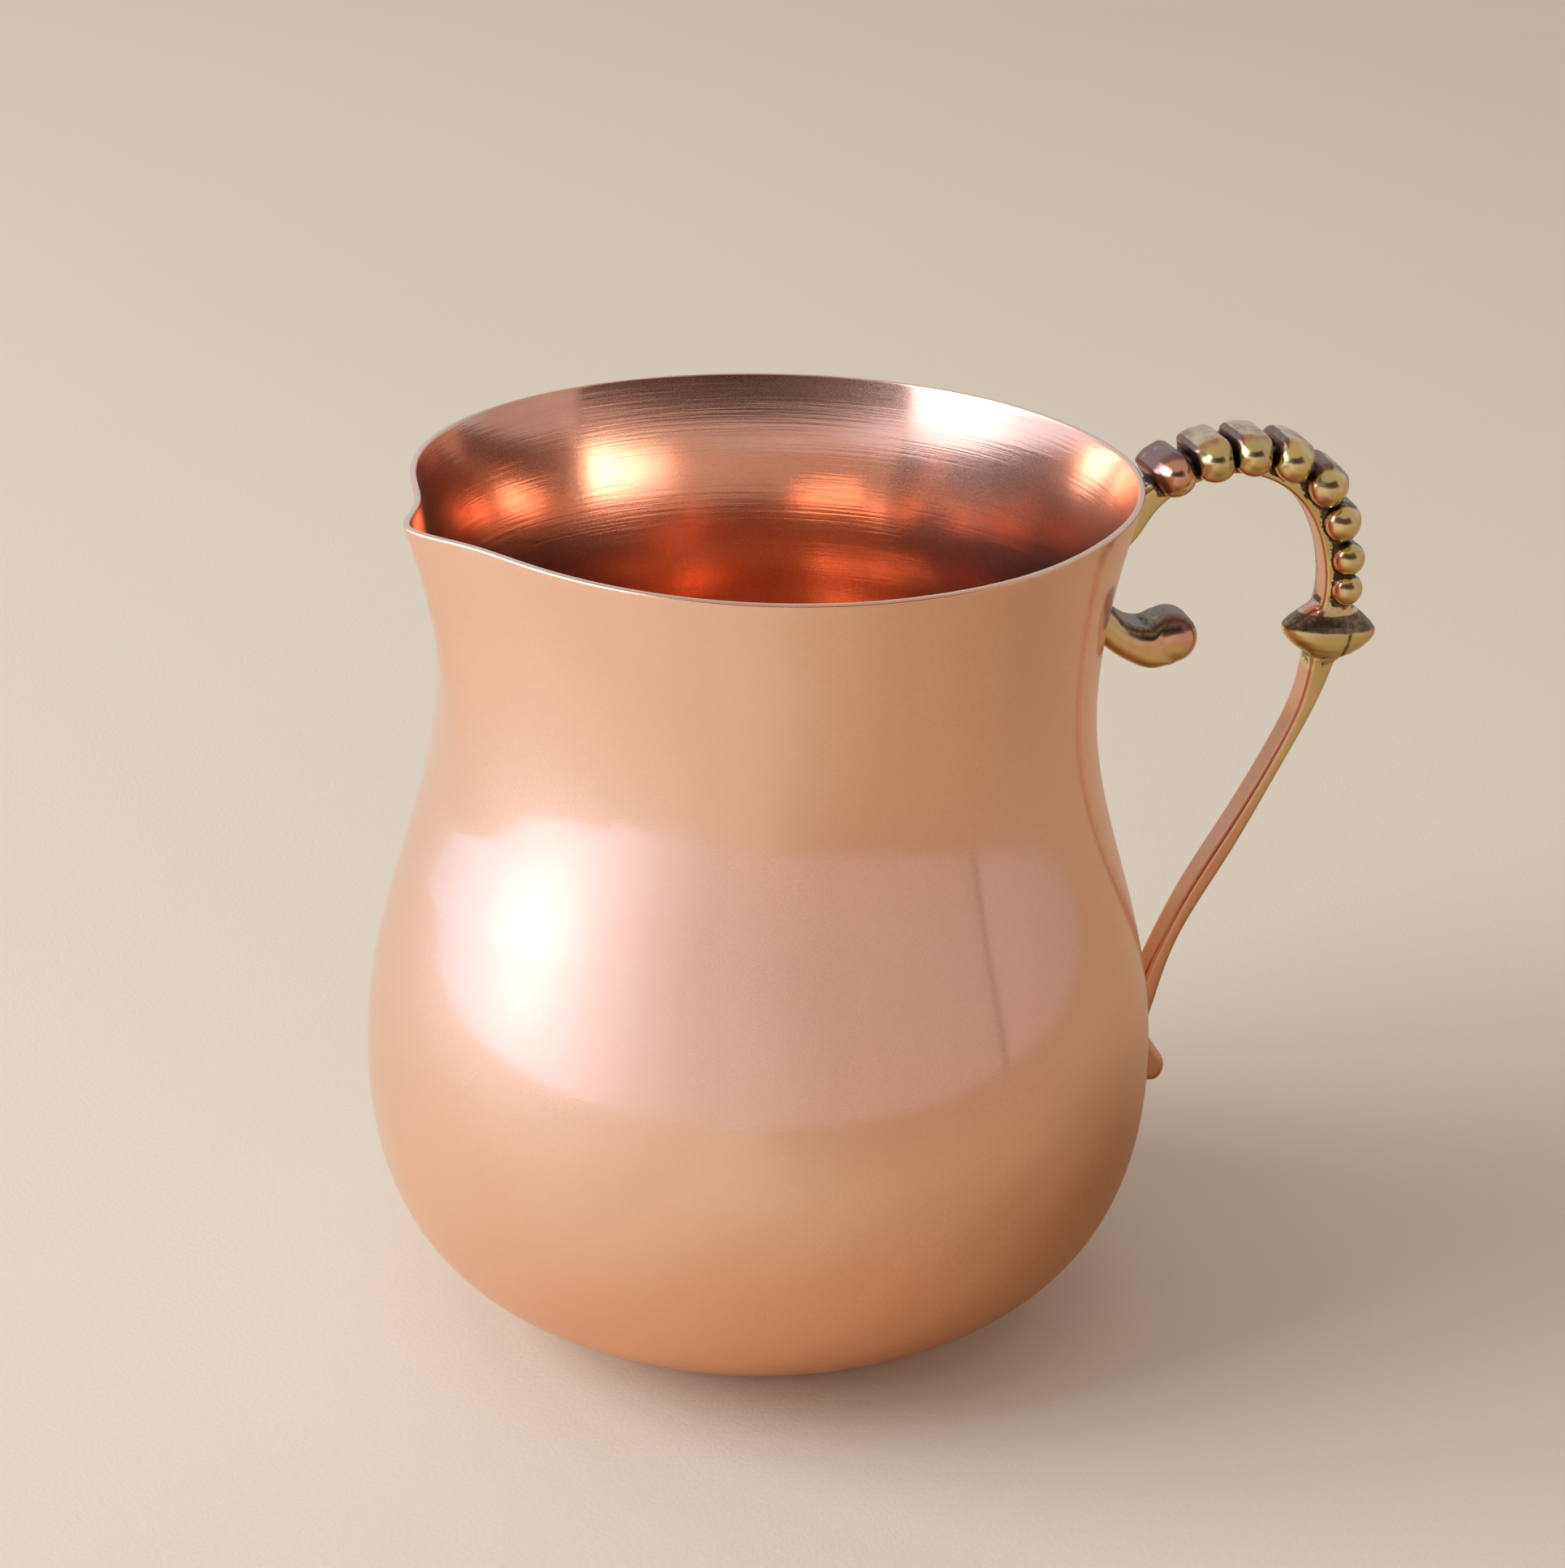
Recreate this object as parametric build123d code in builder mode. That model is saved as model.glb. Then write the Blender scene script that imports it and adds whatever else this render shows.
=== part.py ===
from build123d import *
import os
from math import cos, exp, hypot, radians, sin, tanh

os.makedirs("parts", exist_ok=True)

# Copper milk frothing jug with a cast brass handle, in mm.
# Origin at the centre of the base, +Z up, +X towards the handle.

# ---- driving dimensions: jug body ----
HEIGHT = 108.9          # base to rim
BASE_R = 24.5           # edge of the flat that the jug stands on
BELLY_R = 49.7
BELLY_Z = 33.5
NECK_R = 41.0
NECK_Z = 82.75
RIM_R = 45.3
WALL = 0.8              # sheet thickness after spinning
LIP_ROUND = 0.3
FLARE_POWER = 1.8       # how late the flare opens between neck and rim
FLARE_SECTIONS = 8      # loft sections between neck and rim
SECTION_POINTS = 48     # spline points round each loft section
SECTION_CROWDING = 40.0     # degrees by which those points draw together at the spout

# ---- driving dimensions: pinched pouring spout ----
SPOUT_AZ = 194.0        # direction of the spout; the handle is at 0 degrees
SPOUT_REACH = 0.55      # tip beyond the round rim
CREASE = 9.3            # half angle of the spout's V at the rim
CREASE_SPREAD = 1.0     # the V is this much wider where the dents start
CREASE_POWER = 1.8
LIP_FROM_Z = 72.0       # the V starts here and grows to the rim
LIP_GROWTH = 1.1
DENT_FROM_Z = 62.0      # the pinched sides reach down to here
DENT_GROWTH = 1.2
DENT = 3.95             # mean depth of the two pinched sides
DENT_SKEW = 0.35        # the right-hand side is pinched this much deeper, the left less
DENT_LEFT = (56.0, 3.0)     # angle and power of the dent on each side
DENT_RIGHT = (37.5, 2.0)

# ---- driving dimensions: cast handle ----
WEB_W = 4.5             # width of the arch across its plane
BAR_W = 4.6             # width of the tail bar
SCROLL_W = 8.8          # width of the thumb scroll
ROLLER_W = 10.8         # width of the long rollers over their rounded ends
BEAD_W = 8.4            # width of the two short beads
COLLAR_X, COLLAR_Z = 72.85, 85.35
COLLAR_LEAN = 5.0       # outward lean of the collar's axis
SCROLL_EDGE = 1.4       # rounding of the scroll's long edges
BAR_EDGE = 0.7          # rounding of the tail bar's long edges

# ---- driving dimensions: brazed joints ----
FILLER = 0.55           # thickness of the brazing filler
SEAT = 0.05             # the filler stands off the copper by this much
UPPER_PAD = (85.6, 106.0, 3.1)     # bottom, top and half width of the upper joint
SCROLL_PAD = (84.6, 91.5, 5.0)     # where the upper joint widens under the scroll
LOWER_PAD = (29.8, 42.4, 2.9)      # bottom, top and half width of the lower joint


# ---- outline of the body ----
def flare_point(share):
    """Outline point between neck (0) and rim (1)."""
    radius = NECK_R + (RIM_R - NECK_R) * share**FLARE_POWER
    return (radius, NECK_Z + (HEIGHT - NECK_Z) * share)


OUTLINE = [
    (BASE_R, 0.0), (27.0, 0.95), (30.1, 2.7), (36.1, 6.15), (41.5, 10.1), (45.6, 15.4),
    (48.1, 21.5), (BELLY_R, BELLY_Z), (48.7, 45.7), (45.1, 59.9), (43.65, 65.0),
    (42.05, 71.9), (41.2, 78.0),
] + [flare_point(i / FLARE_SECTIONS) for i in range(FLARE_SECTIONS + 1)]


def moved_out(points, amount):
    """The same outline, moved along its outward normals; the base stays flat."""
    moved = []
    for i, (r, z) in enumerate(points):
        before = points[max(i - 1, 0)]
        after = points[min(i + 1, len(points) - 1)]
        dr, dz = (after[0] - before[0], after[1] - before[1]) if i else (1.0, 0.0)
        length = hypot(dr, dz)
        moved.append((r + amount * dz / length, z - amount * dr / length))
    return moved


def share_above(z, start, power):
    """Grows from 0 at height start to 1 at the rim."""
    return max(0.0, (z - start) / (HEIGHT - start)) ** power


def spout_offset(off, z):
    """Radial change at height z, off degrees from the spout: a V between two dents."""
    width, power = DENT_LEFT if off > 0 else DENT_RIGHT
    depth = DENT - DENT_SKEW * tanh(off / CREASE)
    crease = CREASE * (1 + CREASE_SPREAD * (1 - share_above(z, DENT_FROM_Z, 1)))
    dent = depth * exp(-((abs(off) / width) ** power))
    lip = (DENT + SPOUT_REACH) * exp(-((abs(off) / crease) ** CREASE_POWER))
    return (
        lip * share_above(z, LIP_FROM_Z, LIP_GROWTH)
        - dent * share_above(z, DENT_FROM_Z, DENT_GROWTH)
    )


def plan_section(radius, z):
    """Plan outline of the body at height z, round below the spout."""
    points = []
    for i in range(SECTION_POINTS):
        turn = 360 * i / SECTION_POINTS - 180
        off = turn - SECTION_CROWDING * sin(radians(turn))
        r = radius + spout_offset(off, z)
        azimuth = radians(SPOUT_AZ + off)
        points.append((r * cos(azimuth), r * sin(azimuth)))
    # every section has the same knots, so the loft through them stays smooth
    knots = [i / SECTION_POINTS for i in range(SECTION_POINTS + 1)]
    with BuildSketch(Plane.XY.offset(z)) as section:
        with BuildLine():
            add(Edge.make_spline(points, periodic=True, parameters=knots))
        make_face()
    return section.sketch.faces()[0]


def far_side(points):
    """Outline drawn at -X, so that the seam of its revolve is away from the handle."""
    return [(-r, z) for r, z in points]


def mandrel(out):
    """Body without its spout, grown by out: the form that the handle sits on."""
    points = far_side(moved_out(OUTLINE, out))
    with BuildPart() as form:
        with BuildSketch(Plane.XZ):
            with BuildLine():
                side = Spline(*points)
                Polyline(side @ 1, (0, points[-1][1]), (0, points[0][1]), side @ 0)
            make_face()
        revolve(axis=Axis.Z)
    return form.part


# ---- body_shell: one spun copper sheet with a pinched spout ----
inside = moved_out(OUTLINE, -WALL)
inside[-1] = (RIM_R - WALL, HEIGHT)
above_rim = (RIM_R - WALL / 2, HEIGHT + 1)
with BuildPart() as body_shell:
    loft(sections=[plan_section(r, z) for r, z in OUTLINE])
    loft(sections=[plan_section(r, z) for r, z in inside + [above_rim]], mode=Mode.SUBTRACT)
    fillet(body_shell.edges().group_by(Axis.Z)[-1], LIP_ROUND)
body_shell.part.label = "body_shell"
export_step(body_shell.part, "parts/body_shell.step")


# ---- cast_handle: beaded arch, collar, tail bar, thumb scroll and foot curl, cast in one ----
ARCH_INNER = [
    (44.8, 91.6), (44.9, 95.0), (46.1, 99.0), (48.6, 102.8), (52.8, 105.9), (58.5, 107.2),
    (64.3, 105.6), (68.4, 101.8), (70.6, 96.8), (71.3, 92.0), (70.9, 87.6),
]
ARCH_OUTER = [
    (74.9, 87.0), (74.7, 92.0), (74.3, 96.0), (73.0, 101.0), (70.2, 105.8), (65.6, 109.3),
    (60.4, 110.4), (55.2, 109.9), (50.4, 108.0), (46.6, 105.2),
]
ROLLERS = [     # x, z and radius, from the rim round to the collar
    (50.3, 107.6, 2.35), (55.2, 109.7, 2.4), (60.4, 110.3, 2.35), (65.7, 109.2, 2.35),
    (70.4, 105.6, 2.4), (73.1, 100.9, 2.2), (74.6, 95.6, 1.95), (74.6, 91.6, 1.85),
]
SHORT_BEADS = 2         # the last two are short
BAR_INNER = [(70.3, 83.5), (69.4, 77.4), (66.2, 69.6), (61.1, 60.2), (55.2, 50.0), (51.4, 41.6)]
BAR_OUTER = [(73.9, 83.5), (72.2, 78.2), (67.6, 68.4), (60.6, 55.0), (54.3, 43.2), (52.2, 36.0)]
FOOT_OUTER = [(52.2, 36.0), (51.7, 30.5), (53.2, 28.2), (54.0, 26.2), (52.9, 24.2), (51.0, 24.4)]
FOOT_INNER = [(51.0, 24.4), (49.4, 28.0), (49.2, 34.0), (51.4, 41.6)]
SCROLL_TOP = [(44.8, 91.6), (45.7, 89.3), (48.3, 87.5), (50.6, 88.0)]
BULB_X, BULB_Z, BULB_R = 52.9, 86.2, 2.95
SCROLL_UNDER = [(52.2, 83.4), (49.5, 82.7), (46.6, 83.5), (43.4, 85.4), (40.5, 88.0)]

collar_axis = (sin(radians(COLLAR_LEAN)), 0, cos(radians(COLLAR_LEAN)))
collar_across = (cos(radians(COLLAR_LEAN)), 0, -sin(radians(COLLAR_LEAN)))
COLLAR_SECTIONS = [     # height along the collar's axis, half size in plane and across
    (3.4, 2.2, 2.2), (1.7, 4.0, 2.8), (0.2, 6.1, 3.3), (-0.2, 6.1, 3.3),
    (-1.8, 4.9, 3.1), (-3.6, 2.9, 2.6), (-5.0, 2.2, 2.3),
]

with BuildPart() as scroll_bulb:
    with Locations(Location((BULB_X, 0, BULB_Z), (90, 0, 0))):
        Cylinder(BULB_R, SCROLL_W)
    fillet(scroll_bulb.edges().filter_by(GeomType.CIRCLE), SCROLL_EDGE)

with BuildPart() as thumb_scroll:
    with BuildSketch(Plane.XZ):
        with BuildLine():
            top = Spline(*SCROLL_TOP)
            Line(top @ 1, (BULB_X, BULB_Z))
            Line((BULB_X, BULB_Z), SCROLL_UNDER[0])
            under = Spline(*SCROLL_UNDER)
            Line(under @ 1, (40.5, 91.6))
            Line((40.5, 91.6), top @ 0)
        make_face()
    extrude(amount=SCROLL_W / 2 - 0.3, both=True)
    fillet(thumb_scroll.edges().filter_by(GeomType.BSPLINE), BAR_EDGE)
    add(scroll_bulb.part)

with BuildPart() as tail_bar:
    with BuildSketch(Plane.XZ):
        with BuildLine():
            inner = Spline(*BAR_INNER)
            outer = Spline(*BAR_OUTER)
            Line(inner @ 0, outer @ 0)
            curl = Spline(*FOOT_OUTER)
            Spline(*FOOT_INNER)
        make_face()
    extrude(amount=BAR_W / 2, both=True)
    fillet(tail_bar.edges().filter_by(GeomType.BSPLINE), BAR_EDGE)

with BuildPart() as cast_handle:
    with BuildSketch(Plane.XZ):
        with BuildLine():
            arch_in = Spline(*ARCH_INNER)
            arch_out = Spline(*ARCH_OUTER)
            Line(arch_in @ 1, arch_out @ 0)
            Polyline(arch_out @ 1, (40.5, 105.2), (40.5, 91.6), arch_in @ 0)
        make_face()
    extrude(amount=WEB_W / 2, both=True)
    for i, (x, z, radius) in enumerate(ROLLERS):
        width = ROLLER_W if i < len(ROLLERS) - SHORT_BEADS else BEAD_W
        half = width / 2 - radius
        with Locations(Location((x, 0, z), (90, 0, 0))):
            Cylinder(radius, 2 * half)
        with Locations((x, -half, z), (x, half, z)):
            Sphere(radius)
    collar_faces = []
    for height, along, across in COLLAR_SECTIONS:
        centre = (COLLAR_X + height * collar_axis[0], 0, COLLAR_Z + height * collar_axis[2])
        with BuildSketch(Plane(centre, x_dir=collar_across, z_dir=collar_axis)) as ring:
            Ellipse(along, across)
        collar_faces.append(ring.sketch.faces()[0])
    loft(sections=collar_faces)
    add(thumb_scroll.part)
    add(tail_bar.part)
    add(mandrel(FILLER), mode=Mode.SUBTRACT)
cast_handle.part.label = "cast_handle"
export_step(cast_handle.part, "parts/cast_handle.step")


# ---- brazed joints: thin filler between the copper and the casting ----
def filler_between(patches):
    """Filler layer on the body, as wide and high as the given patches."""
    seat = far_side(moved_out(OUTLINE, SEAT))
    skin = far_side(moved_out(OUTLINE, FILLER))
    with BuildPart() as joint:
        with BuildSketch(Plane.XZ):
            with BuildLine():
                inner = Spline(*seat)
                outer = Spline(*skin)
                Line(inner @ 0, outer @ 0)
                Line(inner @ 1, outer @ 1)
            make_face()
        revolve(axis=Axis.Z)
        with BuildSketch(Plane.YZ) as footprint:
            for bottom, top, half in patches:
                with Locations((0, (bottom + top) / 2)):
                    Rectangle(2 * half, top - bottom)
            fillet(footprint.vertices(), 0.8)
        extrude(amount=BELLY_R + 5, mode=Mode.INTERSECT)
    return joint.part


upper_braze = filler_between([UPPER_PAD, SCROLL_PAD])
upper_braze.label = "upper_braze_joint"
export_step(upper_braze, "parts/upper_braze_joint.step")

lower_braze = filler_between([LOWER_PAD])
lower_braze.label = "lower_braze_joint"
export_step(lower_braze, "parts/lower_braze_joint.step")
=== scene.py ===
"""Looks of a hand-made copper frothing jug with a cast brass handle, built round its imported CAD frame.

The row frame is used throughout: the origin is the middle of the base's underside, +Z is up and the
handle lies towards +X. Shapes are worked out in millimetres and turned into metres as meshes are made.
"""

import bpy
import numpy as np
import openvdb
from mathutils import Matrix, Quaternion, Vector


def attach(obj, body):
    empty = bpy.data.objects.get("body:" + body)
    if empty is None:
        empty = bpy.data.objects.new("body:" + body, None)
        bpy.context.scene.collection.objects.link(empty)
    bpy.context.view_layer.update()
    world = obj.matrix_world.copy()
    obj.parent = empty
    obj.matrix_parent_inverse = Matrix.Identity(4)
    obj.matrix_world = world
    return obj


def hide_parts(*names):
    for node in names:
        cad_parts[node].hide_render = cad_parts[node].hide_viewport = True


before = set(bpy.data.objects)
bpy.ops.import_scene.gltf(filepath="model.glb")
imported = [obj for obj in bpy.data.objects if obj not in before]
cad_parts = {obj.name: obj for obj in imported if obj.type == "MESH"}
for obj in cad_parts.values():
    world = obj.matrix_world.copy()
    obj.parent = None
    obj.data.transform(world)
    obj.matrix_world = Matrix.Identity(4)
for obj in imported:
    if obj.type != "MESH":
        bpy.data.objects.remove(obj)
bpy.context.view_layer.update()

MM = 0.001

# ---------------------------------------------------------------- the jug's own sizes, in mm and degrees

HEIGHT = 108.9
WALL = 0.8
BASE_R = 24.5
BELLY_R = 49.7
BELLY_Z = 33.5
NECK_R = 41.0
NECK_Z = 82.75
RIM_R = 45.3
FLARE_POWER = 1.8
FLARE_SECTIONS = 8

# The spout is a crease that stands out between two pinches. The crease's lip and the pinches each begin
# at their own height and grow towards the rim by their own power. A pinch has its width in degrees and
# the power it falls off by. Left and right are those of the person who pours.
SPOUT_AZ = 194.0
SPOUT_REACH = 0.55
CREASE = 9.3
CREASE_SPREAD = 1.0
CREASE_POWER = 1.8
LIP_FROM_Z = 72.0
LIP_GROWTH = 1.1
DENT_FROM_Z = 62.0
DENT_GROWTH = 1.2
DENT = 3.95
DENT_SKEW = 0.35
DENT_LEFT = (56.0, 3.0)
DENT_RIGHT = (37.5, 2.0)

# Where handling has pushed the rim: azimuth, half width in degrees, and how far out.
RIM_WAVER = [(-2.0, 16.0, 0.45), (-42.0, 16.0, -0.5)]
WAVER_FROM_Z = 84.0
WAVER_GROWTH = 1.4
RIPPLE = 0.006
FINE_RIPPLE = 0.004

FLARE = [
    (
        NECK_R + (RIM_R - NECK_R) * (i / FLARE_SECTIONS) ** FLARE_POWER,
        NECK_Z + (HEIGHT - NECK_Z) * i / FLARE_SECTIONS,
    )
    for i in range(FLARE_SECTIONS + 1)
]
OUTLINE = [
    (BASE_R, 0.0), (27.0, 0.95), (30.1, 2.7), (36.1, 6.15), (41.5, 10.1), (45.6, 15.4),
    (48.1, 21.5), (BELLY_R, BELLY_Z), (48.7, 45.7), (45.1, 59.9), (43.65, 65.0),
    (42.05, 71.9), (41.2, 78.0),
] + FLARE

# ---------------------------------------------------------------- curves


def spline_through(points, count):
    """A smooth curve through the points, as `count` places evenly spread along it."""
    points = np.array(points, float)
    knots = np.concatenate([[0.0], np.cumsum(np.hypot(*np.diff(points, axis=0).T))])
    n = len(points)
    gaps = np.diff(knots)
    slopes = np.diff(points, axis=0) / gaps[:, None]
    matrix = np.eye(n)
    right = np.zeros((n, 2))
    for i in range(1, n - 1):
        matrix[i, i - 1 : i + 2] = gaps[i - 1], 2 * (gaps[i - 1] + gaps[i]), gaps[i]
        right[i] = 6 * (slopes[i] - slopes[i - 1])
    bend = np.linalg.solve(matrix, right)
    places = np.linspace(0, knots[-1], count)
    at = np.clip(np.searchsorted(knots, places, side="right") - 1, 0, n - 2)
    gap = gaps[at][:, None]
    ahead = (knots[at + 1] - places)[:, None]
    behind = (places - knots[at])[:, None]
    cubic = (bend[at] * ahead**3 + bend[at + 1] * behind**3) / (6 * gap)
    low = (points[at] / gap - bend[at] * gap / 6) * ahead
    high = (points[at + 1] / gap - bend[at + 1] * gap / 6) * behind
    return cubic + low + high


def share_above(z, start, power):
    """How far up z is from start to the rim, from 0 to 1, raised to a power."""
    return np.clip((z - start) / (HEIGHT - start), 0, None) ** power


def turn_from(azimuth, start):
    """The turn from one azimuth to another, between -180 and 180 degrees."""
    return (azimuth - start + 180.0) % 360.0 - 180.0


def spout_offset(azimuth, z):
    """How far the spout's crease and the pinches beside it move the wall out from its round plan, in mm."""
    off = turn_from(azimuth, SPOUT_AZ)
    width = np.where(off > 0, DENT_LEFT[0], DENT_RIGHT[0])
    power = np.where(off > 0, DENT_LEFT[1], DENT_RIGHT[1])
    depth = DENT - DENT_SKEW * np.tanh(off / CREASE)
    crease = CREASE * (1 + CREASE_SPREAD * (1 - share_above(z, DENT_FROM_Z, 1)))
    dent = depth * np.exp(-((np.abs(off) / width) ** power))
    lip = (DENT + SPOUT_REACH) * np.exp(-((np.abs(off) / crease) ** CREASE_POWER))
    grown = lip * share_above(z, LIP_FROM_Z, LIP_GROWTH)
    return grown - dent * share_above(z, DENT_FROM_Z, DENT_GROWTH)


def hand_waver(azimuth, z):
    """The slight bulge and dip that hand work left in the rim, and a faint unevenness all over, in mm."""
    total = 0.0
    for centre, width, size in RIM_WAVER:
        off = turn_from(azimuth, centre)
        total = total + size * np.exp(-((off / width) ** 2)) * share_above(z, WAVER_FROM_Z, WAVER_GROWTH)
    turn = np.radians(azimuth)
    ripple = np.sin(5 * turn + z * 0.11) + np.sin(9 * turn - z * 0.17 + 1.3)
    return total + RIPPLE * ripple + FINE_RIPPLE * np.sin(14 * turn + z * 0.31)


def step(value, low, high):
    """0 below low, 1 above high, smooth between."""
    share = np.clip((value - low) / (high - low), 0, 1)
    return share * share * (3 - 2 * share)


# ---------------------------------------------------------------- meshes


def make_mesh(name, points, faces):
    """A new smooth-shaded object from points in mm and faces of any size."""
    mesh = bpy.data.meshes.new(name)
    mesh.from_pydata((np.asarray(points) * MM).tolist(), [], faces)
    mesh.polygons.foreach_set("use_smooth", [True] * len(mesh.polygons))
    mesh.validate()
    mesh.update()
    made = bpy.data.objects.new(name, mesh)
    bpy.context.scene.collection.objects.link(made)
    return made


def add_attribute(piece, name, values):
    """One number at each point of the piece, for its material to read."""
    made = piece.data.attributes.new(name, "FLOAT", "POINT")
    made.data.foreach_set("value", np.asarray(values, np.float32))


# The body's mesh: its columns, and its rows up the outside, over the lip and across each floor.
COLUMNS = 384
COLUMN_CROWDING = 18.0
OUTER_ROWS = 132
LIP_ROWS = 9
FLOOR_RINGS = 9
LIP_HEIGHT = 0.4
LIP_FLATNESS = 0.55


def body_columns():
    """The azimuth of each column of the body's mesh, closer together at the spout."""
    turn = np.linspace(0.0, 360.0, COLUMNS, endpoint=False)
    return SPOUT_AZ + 180.0 + turn + COLUMN_CROWDING * np.sin(np.radians(turn))


def body_grid():
    """The body's surface as rows of points: from the underside's middle, up, over the lip and down inside.

    Returns the rows, how far inside the jug each row is from 0 to 1, and the inside floor's height."""
    azimuth = body_columns()[None, :]
    turn = np.radians(azimuth)
    profile = spline_through(OUTLINE, OUTER_ROWS)
    profile[:, 1] *= (HEIGHT - LIP_HEIGHT) / HEIGHT
    radius = profile[:, 0][:, None]
    height = profile[:, 1][:, None]
    out = radius + spout_offset(azimuth, height) + hand_waver(azimuth, height)
    level = np.broadcast_to(height, out.shape)
    outer = np.stack([out * np.cos(turn), out * np.sin(turn), level], axis=2)
    along = np.gradient(outer, axis=0)
    around = np.roll(outer, -1, axis=1) - np.roll(outer, 1, axis=1)
    normal = np.cross(around, along)
    normal /= np.linalg.norm(normal, axis=2, keepdims=True)
    inner = outer - WALL * normal
    rise = along[-1] / np.linalg.norm(along[-1], axis=1, keepdims=True)
    middle = (outer[-1] + inner[-1]) / 2
    lip = []
    for i in range(1, LIP_ROWS + 1):
        angle = np.pi * i / (LIP_ROWS + 1)
        side = np.sign(np.cos(angle)) * abs(np.cos(angle)) ** LIP_FLATNESS
        up = np.sin(angle) ** LIP_FLATNESS
        lip.append(middle + WALL / 2 * side * normal[-1] + LIP_HEIGHT * up * rise)
    rings = np.linspace(0, 1, FLOOR_RINGS + 1)[1:-1]
    under = [outer[0] * [share, share, 1] for share in rings]
    floor_z = inner[0, :, 2].mean()
    floor = [inner[0] * [share, share, 0] + [0, 0, floor_z] for share in rings[::-1]]
    inside = inner[1:][::-1]
    seat = inner[0] * [1, 1, 0] + [0, 0, floor_z]
    rows = [*under, *outer, *lip, *inside, seat, *floor]
    is_inside = [0.0] * (len(under) + len(outer)) + [0.5] * len(lip)
    is_inside += [1.0] * (len(rows) - len(is_inside))
    return np.array(rows), np.array(is_inside), floor_z


def build_body():
    """The one-piece copper shell: belly, neck, flared rim and pinched spout."""
    rows, is_inside, floor_z = body_grid()
    count, across = rows.shape[:2]
    points = rows.reshape(-1, 3).tolist() + [[0, 0, 0], [0, 0, floor_z]]
    bottom, top = count * across, count * across + 1
    faces = []
    for i in range(count - 1):
        low, high = i * across, (i + 1) * across
        for j in range(across):
            k = (j + 1) % across
            faces.append((low + j, low + k, high + k, high + j))
    last = (count - 1) * across
    for j in range(across):
        k = (j + 1) % across
        faces.append((bottom, k, j))
        faces.append((top, last + j, last + k))
    body = make_mesh("copper_body", points, faces)
    add_attribute(body, "inside", [*np.repeat(is_inside, across), 0.0, 1.0])
    return body


# ---------------------------------------------------------------- the handle, shaped as a solid field

# Outlines in the handle's plane, as x and z.
ARCH_INNER = [
    (41.5, 96.6), (44.0, 97.5), (46.2, 99.3), (48.6, 102.8), (52.8, 105.9), (58.5, 107.2),
    (64.3, 105.6), (68.4, 101.8), (70.6, 96.8), (71.3, 92.0), (70.9, 87.6),
]
ARCH_OUTER = [
    (74.9, 87.0), (74.7, 92.0), (74.3, 96.0), (73.0, 101.0), (70.2, 105.8), (65.6, 109.3),
    (60.4, 110.4), (55.2, 109.9), (50.4, 108.0), (46.6, 105.2),
]
BAR_INNER = [(70.3, 83.5), (69.4, 77.4), (66.2, 69.6), (61.1, 60.2), (55.2, 50.0), (51.4, 41.6)]
BAR_OUTER = [(73.9, 83.5), (72.2, 78.2), (67.6, 68.4), (60.6, 55.0), (54.3, 43.2), (52.2, 36.0)]
FOOT_OUTER = [(52.2, 36.0), (51.7, 30.5), (53.2, 28.2), (54.0, 26.2), (52.9, 24.2), (51.0, 24.4)]
FOOT_INNER = [(51.0, 24.4), (49.4, 28.0), (49.2, 34.0), (51.4, 41.6)]
SCROLL_TOP = [(41.6, 94.6), (43.2, 91.6), (44.7, 89.6), (46.4, 88.4), (48.4, 88.0), (49.8, 88.3)]
SCROLL_UNDER = [(51.6, 83.1), (49.0, 82.5), (46.3, 83.4), (43.3, 85.3), (40.5, 88.0)]
BULB_X = 51.75
BULB_Z = 86.1
BULB_R = 3.2
ARCH_CENTRE = (58.2, 94.0)

# Half widths across, and how rounded the edges are.
WEB_HALF = 2.25
WEB_EDGE = 0.55
BAR_HALF = 2.3
BAR_EDGE = 0.75
SCROLL_HALF = 4.2
SCROLL_EDGE = 2.0
BULB_EDGE = 2.8
STRAP_HALF = 2.6
STRAP_Z = (85.6, 106.0)
# The strap on the wall, below and above where the arch meets it: it is thinner and set back below.
STRAP_THICK_Z = (96.0, 101.0)
STRAP_THICKNESS = (0.45, 1.3)
STRAP_BEHIND_Z = (97.0, 101.0)
STRAP_BEHIND = (1.6, 0.0)

# Each bead: middle x and z, radius, how far out from its middle the end balls lie, the balls' radius,
# how far the balls sit in towards the arch, and how much it is filed, from 0 for a plain round bead to 1.
BEADS = [
    (50.0, 108.0, 2.35, 3.65, 1.95, 0.35, 1.0),
    (55.1, 109.8, 2.40, 3.70, 1.95, 0.45, 1.0),
    (60.2, 110.3, 2.35, 3.60, 2.00, 0.40, 1.0),
    (65.6, 109.2, 2.35, 3.50, 2.10, 0.40, 0.9),
    (70.4, 105.6, 2.35, 3.30, 2.20, 0.25, 0.7),
    (72.8, 100.6, 2.20, 3.10, 2.00, 0.20, 0.45),
    (74.1, 95.5, 2.00, 2.50, 1.95, 0.15, 0.0),
    (74.2, 91.4, 1.90, 2.40, 1.85, 0.15, 0.0),
]
# How much a filed bead is askew across the arch, and larger than its radius before it is filed.
BEAD_LEAN = 0.06
BEAD_SPARE = 0.24
# The flats filed on a bead: the angle round it from straight out, and how far each lies from its middle,
# as a share of its radius.
FACETS = [
    (0.0, 0.98), (-44.0, 1.13), (42.0, 1.12), (-94.0, 0.97), (92.0, 0.98), (-20.0, 1.02), (68.0, 1.08),
]
# How much farther out they lie on a round bead, where they cut nothing.
FACET_RELIEF = 0.3
# The rod's filed ends: how far past the balls' middles they lie, and how much they lean in going outward.
ROD_PAST = 1.25
ROD_TAPER = 0.24

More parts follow.
